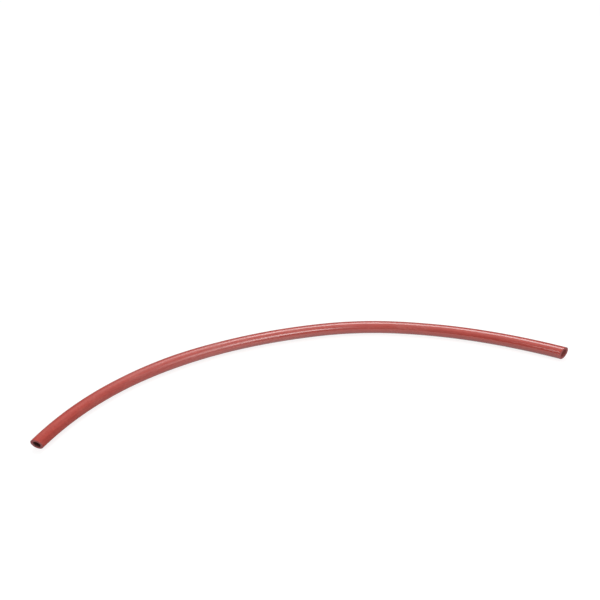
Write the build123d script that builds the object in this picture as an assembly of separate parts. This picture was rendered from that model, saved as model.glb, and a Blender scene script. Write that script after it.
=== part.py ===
from build123d import *
from math import radians, tan
import os

# Rubber vacuum tubing, in millimetres. One soft extruded tube lies in a gentle bow on the floor.
# The origin is on the floor under the middle of the bow, +X runs from end to end and +Z is up.
BORE_DIAMETER = 6.0
WALL = 2.0
OUTER_DIAMETER = BORE_DIAMETER + 2 * WALL

# Points that pull the bow of the centre line, as (x, y) from the left end's tip to the right end's tip.
ROUTE = [
    (-213.1, -49.3),
    (-189, -21),
    (-133, 17.9),
    (-68, 40.8),
    (0, 48),
    (68, 42),
    (131, 15.6),
    (187, -23.5),
    (212.2, -48.5),
]

# An arc takes this much of the shorter run at its corner, so that little of a run stays straight.
ARC_SHARE = 0.45

# The knife takes this much off the square end beyond the furthest rim of its cut.
TRIM = 0.5

# Degrees by which each knife cut is off square. A lean carries the top of the tube further out than
# its bottom, and a skew carries the left flank further out, seen along the axis out of the end.
LEFT_LEAN = 20.5
LEFT_SKEW = -5.0
RIGHT_LEAN = 5.5
RIGHT_SKEW = 19.0


def corner_radii(points):
    """The radius of the arc at each inner point: as large as the two runs beside it allow."""
    radii = []
    for before, corner, after in zip(points, points[1:], points[2:]):
        run_in = corner - before
        run_out = after - corner
        half_turn = radians(run_in.get_angle(run_out) / 2)
        radii.append(ARC_SHARE * min(run_in.length, run_out.length) / tan(half_turn))
    return radii


def knife_cut(tip, inner, lean, skew):
    """The plane of a slanted cut across the end run, facing out, that takes the trim off at the tip."""
    outward = (tip - inner).normalized()
    up = Vector(0, 0, 1)
    left_flank = up.cross(outward)
    slant = up * tan(radians(lean)) + left_flank * tan(radians(skew))
    middle = tip - outward * (TRIM + slant.length * OUTER_DIAMETER / 2)
    return Plane(origin=middle, z_dir=outward - slant)


def rubber_tube():
    """The ring section carried along the bow, then cut off slantwise at both ends."""
    points = [Vector(x, y, OUTER_DIAMETER / 2) for x, y in ROUTE]
    radii = corner_radii(points)
    path = FilletPolyline(*points, radius=radii)
    ring = Circle(OUTER_DIAMETER / 2) - Circle(BORE_DIAMETER / 2)
    section = Plane(origin=path @ 0, z_dir=path % 0) * ring
    tube = sweep(section, path=path)
    print("corner radii", [round(radius) for radius in radii])
    print("centre line", round(path.length, 1))
    print("volume", round(tube.volume), "section times length", round(section.area * path.length))
    tube = split(tube, bisect_by=knife_cut(points[0], points[1], LEFT_LEAN, LEFT_SKEW), keep=Keep.BOTTOM)
    return split(tube, bisect_by=knife_cut(points[-1], points[-2], RIGHT_LEAN, RIGHT_SKEW), keep=Keep.BOTTOM)


os.makedirs("parts", exist_ok=True)
export_step(rubber_tube(), "parts/vacuum_tube.step")
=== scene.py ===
import bpy
import numpy as np
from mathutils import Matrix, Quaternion, Vector


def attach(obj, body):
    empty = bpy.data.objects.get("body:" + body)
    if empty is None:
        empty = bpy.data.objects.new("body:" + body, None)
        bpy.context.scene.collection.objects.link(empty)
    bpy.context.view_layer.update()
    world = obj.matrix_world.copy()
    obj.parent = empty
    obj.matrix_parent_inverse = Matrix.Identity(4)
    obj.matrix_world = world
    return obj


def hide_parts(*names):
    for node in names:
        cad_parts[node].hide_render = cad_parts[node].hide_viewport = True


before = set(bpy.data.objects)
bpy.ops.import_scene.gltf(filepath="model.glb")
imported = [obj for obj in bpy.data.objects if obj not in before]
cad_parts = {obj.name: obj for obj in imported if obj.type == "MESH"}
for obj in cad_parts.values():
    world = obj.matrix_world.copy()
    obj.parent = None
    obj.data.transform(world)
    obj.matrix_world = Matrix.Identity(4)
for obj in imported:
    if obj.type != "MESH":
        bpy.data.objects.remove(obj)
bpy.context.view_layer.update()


# The rubber tube
# One extruded length of soft brick-red rubber, 10 mm outside with a 6 mm bore, lying on the floor in a
# gentle bow. A knife has taken both ends off slantwise, so each end shows its wall as a matt ring.
OUTER_RADIUS = 0.005
BORE_RADIUS = 0.003
ROUTE = np.array(
    [
        (-0.2131, -0.0493),
        (-0.189, -0.021),
        (-0.133, 0.0179),
        (-0.068, 0.0408),
        (0.0, 0.048),
        (0.068, 0.042),
        (0.131, 0.0156),
        (0.187, -0.0235),
        (0.2122, -0.0485),
    ]
)

# A cut's two slopes are those of its lean and its skew, and the slide that they give eases off inwards.
TRIM = 0.0005
LEFT_CUT_SLOPES = np.tan(np.radians([20.5, 5.0]))
RIGHT_CUT_SLOPES = np.tan(np.radians([5.5, 19.0]))
CUT_EASE = 0.020
CUT_DISH = 0.00012
RIM_ROUNDING = 0.00015

# How far the skin stands out beyond its nominal radius, at lengths along the tube.
SWELL_AT = (0.0, 0.10, 0.15, 0.19, 0.24, 0.36, 0.43, 0.48)
SWELL = np.array([0.0, 0.0, 0.20, 0.03, 0.12, 0.05, 0.20, 0.27]) * 0.001

# How finely the line and the wall are divided.
LINE_STEPS = 64
SKIN_RINGS = 420
RIM_STEPS = 6
CUT_STEPS = 12
POINTS_AROUND = 96


def bow_line(points):
    """The centre line as a row of points: the NURBS curve of order 3 that the route's points pull."""
    curve = bpy.data.curves.new("tube_line", "CURVE")
    curve.dimensions = "3D"
    curve.resolution_u = LINE_STEPS
    spline = curve.splines.new("NURBS")
    spline.points.add(len(points) - 1)
    heights = np.full(len(points), OUTER_RADIUS)
    weights = np.ones(len(points))
    spline.points.foreach_set("co", np.column_stack([points, heights, weights]).ravel())
    spline.order_u = 3
    spline.use_endpoint_u = True
    holder = bpy.data.objects.new("tube_line", curve)
    drawn = bpy.data.meshes.new_from_object(holder)
    line = np.empty(len(drawn.vertices) * 3)
    drawn.vertices.foreach_get("co", line)
    bpy.data.meshes.remove(drawn)
    bpy.data.objects.remove(holder)
    bpy.data.curves.remove(curve)
    return line.reshape(-1, 3)


def wall_outline(left, right):
    """The closed outline of the wall, as its lengths along the tube, radii and materials: along the skin
    from the left cut to the right one, round a rim, in across the right cut, back along the bore and out
    across the left cut. A rim is a quarter circle, and a cut dips as half a sine wave across the wall."""
    turn = np.linspace(0.0, np.pi / 2, RIM_STEPS)
    rising = RIM_ROUNDING * (np.sin(turn) - 1)
    falling = RIM_ROUNDING * (np.cos(turn) - 1)
    along = np.linspace(0.0, 1.0, SKIN_RINGS)
    skin_run = left + RIM_ROUNDING + along * (right - left - 2 * RIM_ROUNDING)
    skin = np.column_stack([skin_run, np.full_like(skin_run, OUTER_RADIUS)])
    across = np.linspace(0.0, 1.0, CUT_STEPS)[1:-1]
    depth = OUTER_RADIUS - BORE_RADIUS - 2 * RIM_ROUNDING
    dip = -CUT_DISH * np.sin(np.pi * across)
    rim = np.column_stack([rising, OUTER_RADIUS + falling])
    face = np.column_stack([dip, OUTER_RADIUS - RIM_ROUNDING - across * depth])
    lip = np.column_stack([falling, BORE_RADIUS - rising])
    end = np.vstack([rim[1:], face, lip[:-1]])
    bore_run = skin_run[::-2]
    bore = np.column_stack([bore_run, np.full_like(bore_run, BORE_RADIUS)])
    right_end = end + (right, 0)
    left_end = end[::-1] * (-1, 1) + (left, 0)
    lengths_and_radii = np.vstack([skin, right_end, bore, left_end])
    finish = np.repeat([0, 1, 2, 1], [len(skin), len(right_end), len(bore), len(left_end)])
    return lengths_and_radii[:, 0], lengths_and_radii[:, 1], finish


def tube_mesh(line):
    """The wall's outline carried round the tube: a point at angle a is the centre line at its length,
    plus its radius times (cos a to the left + sin a up). Towards an end its length slides by the radius
    times the slopes of the cut. The wall swells with the skin along the tube, and the centre line is
    lifted with it, so that the tube stays down on the floor."""
    steps = np.linalg.norm(np.diff(line, axis=0), axis=1)
    run = np.concatenate([[0.0], np.cumsum(steps)])
    forward = np.gradient(line, run, axis=0)
    forward /= np.linalg.norm(forward, axis=1)[:, None]
    left_middle = TRIM + np.hypot(*LEFT_CUT_SLOPES) * OUTER_RADIUS
    right_middle = run[-1] - TRIM - np.hypot(*RIGHT_CUT_SLOPES) * OUTER_RADIUS
    length, radius, finish = wall_outline(left_middle, right_middle)
    angle = np.arange(POINTS_AROUND) * 2 * np.pi / POINTS_AROUND
    side, up = np.cos(angle), np.sin(angle)
    near_left = 1 - np.clip((length - left_middle) / CUT_EASE, 0, 1)
    near_right = 1 - np.clip((right_middle - length) / CUT_EASE, 0, 1)
    slide_left = -near_left**2 * (3 - 2 * near_left) * radius
    slide_right = near_right**2 * (3 - 2 * near_right) * radius
    swell = np.interp(length, SWELL_AT, SWELL)
    radius = radius * (1 + swell / OUTER_RADIUS)
    place = length[:, None] + slide_left[:, None] * (up * LEFT_CUT_SLOPES[0] + side * LEFT_CUT_SLOPES[1])
    place += slide_right[:, None] * (up * RIGHT_CUT_SLOPES[0] + side * RIGHT_CUT_SLOPES[1])
    centre = np.stack([np.interp(place, run, line[:, axis]) for axis in range(3)], axis=-1)
    ahead = np.stack([np.interp(place, run, forward[:, axis]) for axis in range(3)], axis=-1)
    leftward = np.stack([-ahead[..., 1], ahead[..., 0], 0 * ahead[..., 0]], axis=-1)
    outward = leftward * side[:, None] + np.array([0.0, 0.0, 1.0]) * up[:, None]
    points = centre + outward * radius[:, None, None] + np.array([0.0, 0.0, 1.0]) * swell[:, None, None]
    straight = np.stack([radius[:, None] * side, radius[:, None] * up, place], axis=-1)

    rings, around = points.shape[:2]
    here = np.arange(rings)[:, None] * around + np.arange(around)
    beyond = np.roll(here, -1, axis=0)
    faces = np.stack([here, beyond, np.roll(beyond, -1, axis=1), np.roll(here, -1, axis=1)], axis=-1)
    mesh = bpy.data.meshes.new("rubber_tube")
    mesh.from_pydata(points.reshape(-1, 3), [], faces.reshape(-1, 4))
    mesh.polygons.foreach_set("material_index", np.repeat(finish, around))
    mesh.polygons.foreach_set("use_smooth", np.ones(rings * around, dtype=bool))
    place_in_tube = mesh.attributes.new("straight_tube", "FLOAT_VECTOR", "POINT")
    place_in_tube.data.foreach_set("vector", straight.ravel())
    mesh.update()
    return mesh


def add_node(tree, kind, values, links):
    """A new node of that kind, with plain values and other nodes' outputs given to its inputs."""
    made = tree.nodes.new(kind)
    for socket, value in values.items():
        made.inputs[socket].default_value = value
    for socket, output in links.items():
        tree.links.new(output, made.inputs[socket])
    return made


def blend_colours(tree, share, first, second):
    """A colour from the first to the second as the share goes from 0 to 1; the second may be plain."""
    made = tree.nodes.new("ShaderNodeMix")
    made.data_type = "RGBA"
    tree.links.new(share, made.inputs["Factor"])
    tree.links.new(first, made.inputs["A"])
    if isinstance(second, tuple):
        made.inputs["B"].default_value = (*second, 1.0)
    else:
        tree.links.new(second, made.inputs["B"])
    return made.outputs["Result"]


def join_values(tree, operation, first, second):
    """One value made of two by a sum, a product or the like; the second may be plain."""
    made = tree.nodes.new("ShaderNodeMath")
    made.operation = operation
    tree.links.new(first, made.inputs[0])
    if isinstance(second, float):
        made.inputs[1].default_value = second
    else:
        tree.links.new(second, made.inputs[1])
    return made.outputs[0]


def rubber_grain():
    """The body of the rubber as a shader group: two reds that cloud into each other over 2 or 3 mm, and a
    fine grain as a height. Place is a point's position in the tube as if it lay straight, in metres."""
    group = bpy.data.node_groups.new("rubber grain", "ShaderNodeTree")
    group.interface.new_socket("Place", in_out="INPUT", socket_type="NodeSocketVector")
    group.interface.new_socket("Deep Red", in_out="INPUT", socket_type="NodeSocketColor")
    group.interface.new_socket("Light Red", in_out="INPUT", socket_type="NodeSocketColor")
    group.interface.new_socket("Color", in_out="OUTPUT", socket_type="NodeSocketColor")
    group.interface.new_socket("Grain", in_out="OUTPUT", socket_type="NodeSocketFloat")
    given = group.nodes.new("NodeGroupInput").outputs
    result = group.nodes.new("NodeGroupOutput")
    at = {"Vector": given["Place"]}
    cloud = add_node(group, "ShaderNodeTexNoise", {"Scale": 420.0, "Detail": 4.0}, at)
    spread = {"From Min": 0.3, "From Max": 0.7}
    clouds = add_node(group, "ShaderNodeMapRange", spread, {"Value": cloud.outputs["Fac"]})
    fine = add_node(group, "ShaderNodeTexNoise", {"Scale": 4200.0, "Detail": 2.0}, at)
    reds = blend_colours(group, clouds.outputs["Result"], given["Deep Red"], given["Light Red"])
    group.links.new(reds, result.inputs["Color"])
    group.links.new(fine.outputs["Fac"], result.inputs["Grain"])
    return group


def new_rubber(name, deep_red, light_red):
    """A rubber material, its nodes, its shader, the place in the tube and the grain, ready to join."""
    material = bpy.data.materials.new(name)
    material.use_nodes = True
    tree = material.node_tree
    shader = tree.nodes["Principled BSDF"]
    place = tree.nodes.new("ShaderNodeAttribute")
    place.attribute_name = "straight_tube"
    grain = tree.nodes.new("ShaderNodeGroup")
    grain.node_tree = GRAIN
    grain.inputs["Deep Red"].default_value = (*deep_red, 1.0)
    grain.inputs["Light Red"].default_value = (*light_red, 1.0)
    tree.links.new(place.outputs["Vector"], grain.inputs["Place"])
    return material, tree, shader, place.outputs["Vector"], grain.outputs


def satin_skin():
    """The extruded outside: fine lines that the die drew along it, longer streaks, a faint pale bloom in
    patches drawn out along it, and a few pale specks. The handled left end is duller and dustier, and
    the right end is wiped clean."""
    deep_red, light_red, streak_red = (0.405, 0.046, 0.034), (0.459, 0.061, 0.044), (0.279, 0.030, 0.024)
    bloom_pink, speck_pink = (0.558, 0.26, 0.23), (0.66, 0.42, 0.38)
    film_roughness = 0.05
    material, tree, shader, place, grain = new_rubber("satin red skin", deep_red, light_red)
    shader.inputs["IOR"].default_value = 1.62
    along = add_node(tree, "ShaderNodeSeparateXYZ", {}, {"Vector": place}).outputs["Z"]
    drawn = add_node(tree, "ShaderNodeMapping", {"Scale": (1.0, 1.0, 0.004)}, {"Vector": place})
    die_lines = {"Scale": 1500.0, "Detail": 3.0}
    lines = add_node(tree, "ShaderNodeTexNoise", die_lines, {"Vector": drawn.outputs["Vector"]})
    pulled = add_node(tree, "ShaderNodeMapping", {"Scale": (1.0, 1.0, 0.05)}, {"Vector": place})
    long_streaks = {"Scale": 620.0, "Detail": 4.0}
    streaks = add_node(tree, "ShaderNodeTexNoise", long_streaks, {"Vector": pulled.outputs["Vector"]})
    dark_streak = {"From Min": 0.42, "From Max": 0.72, "To Max": 0.35}
    darkening = add_node(tree, "ShaderNodeMapRange", dark_streak, {"Value": streaks.outputs["Fac"]})
    streaked = blend_colours(tree, darkening.outputs["Result"], grain["Color"], streak_red)

    ragged = {"Scale": 70.0, "Detail": 6.0, "Roughness": 0.65}
    smeared = add_node(tree, "ShaderNodeMapping", {"Scale": (1.6, 1.6, 0.45)}, {"Vector": place})
    patches = add_node(tree, "ShaderNodeTexNoise", ragged, {"Vector": smeared.outputs["Vector"]})
    pale_patch = {"From Min": 0.45, "From Max": 0.75, "To Max": 0.16}
    pale = add_node(tree, "ShaderNodeMapRange", pale_patch, {"Value": patches.outputs["Fac"]})
    dusty_left = {"From Min": 0.10, "From Max": 0.20, "To Min": 1.5, "To Max": 1.0}
    dust = add_node(tree, "ShaderNodeMapRange", dusty_left, {"Value": along})
    clean_right = {"From Min": 0.385, "From Max": 0.40, "To Min": 1.0, "To Max": 0.4}
    film = add_node(tree, "ShaderNodeMapRange", clean_right, {"Value": along})
    dusted = join_values(tree, "MULTIPLY", pale.outputs["Result"], dust.outputs["Result"])
    bloom = join_values(tree, "MULTIPLY", dusted, film.outputs["Result"])
    bloomed = blend_colours(tree, bloom, streaked, bloom_pink)

    cells = add_node(tree, "ShaderNodeTexVoronoi", {"Scale": 520.0}, {"Vector": place})
    near_middle = {"From Min": 0.05, "From Max": 0.12, "To Min": 1.0, "To Max": 0.0}
    dots = add_node(tree, "ShaderNodeMapRange", near_middle, {"Value": cells.outputs["Distance"]})
    cell_draw = add_node(tree, "ShaderNodeSeparateColor", {}, {"Color": cells.outputs["Color"]})
    few = {"From Min": 0.86, "From Max": 0.87, "To Max": 0.45}
    chosen = add_node(tree, "ShaderNodeMapRange", few, {"Value": cell_draw.outputs["Red"]})
    specks = join_values(tree, "MULTIPLY", dots.outputs["Result"], chosen.outputs["Result"])
    speckled = blend_colours(tree, specks, bloomed, speck_pink)
    tree.links.new(speckled, shader.inputs["Base Color"])

    left_gloss = {"From Min": 0.0, "From Max": 0.18, "To Min": 0.26, "To Max": 0.66}
    from_left = add_node(tree, "ShaderNodeMapRange", left_gloss, {"Value": along})
    right_gloss = {"From Min": 0.20, "From Max": 0.48, "To Min": 0.66, "To Max": 0.54}
    to_right = add_node(tree, "ShaderNodeMapRange", right_gloss, {"Value": along})
    gloss = join_values(tree, "MINIMUM", from_left.outputs["Result"], to_right.outputs["Result"])
    tree.links.new(gloss, shader.inputs["Specular IOR Level"])
    handled = {"From Min": 0.0, "From Max": 0.24, "To Min": 0.65, "To Max": 0.15}
    dulled = add_node(tree, "ShaderNodeMapRange", handled, {"Value": along})
    film_blur = join_values(tree, "MULTIPLY", film.outputs["Result"], film_roughness)
    hazed = join_values(tree, "ADD", dulled.outputs["Result"], film_blur)
    roughness = join_values(tree, "ADD", hazed, bloom)
    tree.links.new(roughness, shader.inputs["Roughness"])

    ribbed = add_node(tree, "ShaderNodeBump", {"Distance": 0.000002}, {"Height": lines.outputs["Fac"]})
    joined = {"Height": grain["Grain"], "Normal": ribbed.outputs["Normal"]}
    grained = add_node(tree, "ShaderNodeBump", {"Distance": 0.0000012}, joined)
    tree.links.new(grained.outputs["Normal"], shader.inputs["Normal"])
    return material


def matt_cut():
    """The wall at a cut end: darker, browner and matt, with fine lines that the knife dragged over it."""
    deep_red, light_red, drag_pink = (0.27, 0.057, 0.058), (0.35, 0.080, 0.081), (0.42, 0.13, 0.13)
    material, tree, shader, place, grain = new_rubber("matt cut rubber", deep_red, light_red)
    shader.inputs["Roughness"].default_value = 0.7
    turned = add_node(tree, "ShaderNodeMapping", {"Rotation": (0.0, 0.0, 0.6)}, {"Vector": place})
    knife_lines = {"Scale": 900.0, "Distortion": 4.0, "Detail": 3.0, "Detail Scale": 2.0}
    drags = add_node(tree, "ShaderNodeTexWave", knife_lines, {"Vector": turned.outputs["Vector"]})
    light_drag = {"To Max": 0.3}
    lighter = add_node(tree, "ShaderNodeMapRange", light_drag, {"Value": drags.outputs["Fac"]})
    dragged = blend_colours(tree, lighter.outputs["Result"], grain["Color"], drag_pink)
    tree.links.new(dragged, shader.inputs["Base Color"])
    scored = add_node(tree, "ShaderNodeBump", {"Distance": 0.00002}, {"Height": drags.outputs["Fac"]})
    joined = {"Height": grain["Grain"], "Normal": scored.outputs["Normal"]}
    grained = add_node(tree, "ShaderNodeBump", {"Distance": 0.00001}, joined)
    tree.links.new(grained.outputs["Normal"], shader.inputs["Normal"])
    return material


def dull_bore():
    """The inside of the bore: the same rubber, deeper in colour and dull, with the lines of the die's pin.
    Towards the left end it is painted darker and browner, a painted shade for the deep inside of the bore."""
    # The last colour is a near-black brown, the painted shade deep in the bore at the left end.
    deep_red, light_red, painted_shade_brown = (0.26, 0.055, 0.047), (0.33, 0.070, 0.060), (0.050, 0.046, 0.040)
    material, tree, shader, place, grain = new_rubber("dull bore rubber", deep_red, light_red)
    shader.inputs["Roughness"].default_value = 0.6
    along = add_node(tree, "ShaderNodeSeparateXYZ", {}, {"Vector": place}).outputs["Z"]
    # Painted shade: the bore's colour goes towards the near-black brown at the left end.
    painted_shade_left = {"From Min": 0.0, "From Max": 0.24, "To Min": 0.65, "To Max": 0.0}
    bore_shade = add_node(tree, "ShaderNodeMapRange", painted_shade_left, {"Value": along})
    shaded_bore = blend_colours(tree, bore_shade.outputs["Result"], grain["Color"], painted_shade_brown)
    tree.links.new(shaded_bore, shader.inputs["Base Color"])
    drawn = add_node(tree, "ShaderNodeMapping", {"Scale": (1.0, 1.0, 0.004)}, {"Vector": place})
    pin_lines = {"Scale": 2200.0, "Detail": 3.0}
    lines = add_node(tree, "ShaderNodeTexNoise", pin_lines, {"Vector": drawn.outputs["Vector"]})
    ribbed = add_node(tree, "ShaderNodeBump", {"Distance": 0.00001}, {"Height": lines.outputs["Fac"]})
    tree.links.new(ribbed.outputs["Normal"], shader.inputs["Normal"])
    return material


GRAIN = rubber_grain()
centre_line = bow_line(ROUTE)
rubber_tube = bpy.data.objects.new("rubber_tube", tube_mesh(centre_line))
bpy.context.scene.collection.objects.link(rubber_tube)
rubber_tube.data.materials.append(satin_skin())
rubber_tube.data.materials.append(matt_cut())
rubber_tube.data.materials.append(dull_bore())
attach(rubber_tube, "root")
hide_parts("vacuum_tube")


# The floor
# A wide sheet of plain white paper that the tube lies on, larger than the camera's view. It shows the
# tube's soft shadow faintly, and otherwise renders as the white of the paper.
FLOOR_REACH = 30.0
PAPER_SEEN = (0.25, 0.25, 0.25, 1.0)
PAPER_BOUNCE = (0.32, 0.32, 0.32, 1.0)
PAPER_WHITE = 0.80
corners = np.array([(-1, -1, 0), (1, -1, 0), (1, 1, 0), (-1, 1, 0)]) * FLOOR_REACH
paper_mesh = bpy.data.meshes.new("paper_floor")
paper_mesh.from_pydata(corners, [], [(0, 1, 2, 3)])
paper_floor = bpy.data.objects.new("paper_floor", paper_mesh)
bpy.context.scene.collection.objects.link(paper_floor)
paper = bpy.data.materials.new("white paper")
paper.use_nodes = True
paper_nodes = paper.node_tree.nodes
paper_links = paper.node_tree.links
paper_shader = paper_nodes["Principled BSDF"]
paper_shader.inputs["Roughness"].default_value = 0.3
paper_shader.inputs["Emission Color"].default_value = (1.0, 1.0, 1.0, 1.0)
ray = paper_nodes.new("ShaderNodeLightPath")
seen_or_mirrored = paper_nodes.new("ShaderNodeMath")
seen_or_mirrored.operation = "MAXIMUM"
seen = paper_nodes.new("ShaderNodeMath")
seen.operation = "MAXIMUM"
white = paper_nodes.new("ShaderNodeMath")
white.operation = "MULTIPLY"
white.inputs[1].default_value = PAPER_WHITE
paper_tone = paper_nodes.new("ShaderNodeMix")
paper_tone.data_type = "RGBA"
paper_tone.inputs["A"].default_value = PAPER_BOUNCE
paper_tone.inputs["B"].default_value = PAPER_SEEN
paper_links.new(ray.outputs["Is Camera Ray"], seen_or_mirrored.inputs[0])
paper_links.new(ray.outputs["Is Glossy Ray"], seen_or_mirrored.inputs[1])
paper_links.new(seen_or_mirrored.outputs[0], seen.inputs[0])
paper_links.new(ray.outputs["Is Transmission Ray"], seen.inputs[1])
paper_links.new(seen.outputs[0], paper_tone.inputs["Factor"])
paper_links.new(paper_tone.outputs["Result"], paper_shader.inputs["Base Color"])
paper_links.new(seen.outputs[0], white.inputs[0])
paper_links.new(white.outputs[0], paper_shader.inputs["Emission Strength"])
paper_mesh.materials.append(paper)


# The camera
# It looks down at the tube from 30 degrees above the floor through a long lens, a little left of the
# middle of the bow, as the photograph was taken.
CAMERA_PLACE = (-0.2628, -0.8714, 0.5898)
CAMERA_HEADING = -16.958
CAMERA_TILT = 60.0
SENSOR_WIDTH = 36.0
LENS_LENGTH = 81.62
lens = bpy.data.cameras.new("camera")
lens.sensor_width = SENSOR_WIDTH
lens.lens = LENS_LENGTH
camera = bpy.data.objects.new("camera", lens)
camera.location = CAMERA_PLACE
camera.rotation_euler = np.radians([CAMERA_TILT, 0.0, CAMERA_HEADING])
bpy.context.scene.collection.objects.link(camera)
bpy.context.scene.camera = camera


# The studio light
# A large soft box high behind the tube, one to the front right, a weaker one to the front left and a dim
# card behind the camera, in a room whose white ceiling lights the tube softly and whose walls are dim.
WALL_GLOW = 0.02
CEILING_GLOW = 0.93
CEILING_FALLOFF = 2.0


def soft_box(name, bearing, height, distance, size, roll, power):
    """A rectangular lamp that faces the middle of the tube. Its bearing turns clockwise from the way the
    camera looks, its height is above the floor and its roll is about its own axis, all in degrees."""
    light = bpy.data.lights.new(name, "AREA")
    light.shape = "RECTANGLE"
    light.size, light.size_y = size
    light.energy = power
    lamp = bpy.data.objects.new(name, light)
    turn = np.radians(bearing - CAMERA_HEADING)
    rise = np.radians(height)
    way = Vector((np.sin(turn) * np.cos(rise), np.cos(turn) * np.cos(rise), np.sin(rise)))
    lamp.location = way * distance
    facing = (-way).to_track_quat("-Z", "Y") @ Quaternion((0.0, 0.0, 1.0), np.radians(roll))
    lamp.rotation_euler = facing.to_euler()
    bpy.context.scene.collection.objects.link(lamp)


soft_box("back soft box", bearing=-4, height=65, distance=2.2, size=(1.20, 0.90), roll=0, power=19.0)
soft_box("right soft box", bearing=136, height=31, distance=2.0, size=(1.36, 0.60), roll=-28, power=17.6)
soft_box("left soft box", bearing=-130, height=29.5, distance=2.0, size=(0.90, 0.60), roll=28, power=9.0)
soft_box("front card", bearing=177, height=20, distance=2.0, size=(1.50, 0.80), roll=0, power=2.0)
room = bpy.data.worlds.new("white ceiling")
room.use_nodes = True
room_nodes = room.node_tree.nodes
room_links = room.node_tree.links
way_up = room_nodes.new("ShaderNodeTexCoord")
rise = room_nodes.new("ShaderNodeSeparateXYZ")
ceiling = room_nodes.new("ShaderNodeMath")
ceiling.operation = "POWER"
ceiling.inputs[1].default_value = CEILING_FALLOFF
glow = room_nodes.new("ShaderNodeMapRange")
glow.inputs["To Min"].default_value = WALL_GLOW
glow.inputs["To Max"].default_value = CEILING_GLOW
room_links.new(way_up.outputs["Generated"], rise.inputs[0])
room_links.new(rise.outputs["Z"], ceiling.inputs[0])
room_links.new(ceiling.outputs[0], glow.inputs["Value"])
room_links.new(glow.outputs["Result"], room_nodes["Background"].inputs["Strength"])
room_nodes["Background"].inputs["Color"].default_value = (1.0, 1.0, 1.0, 1.0)
bpy.context.scene.world = room
bpy.context.scene.view_settings.view_transform = "Standard"
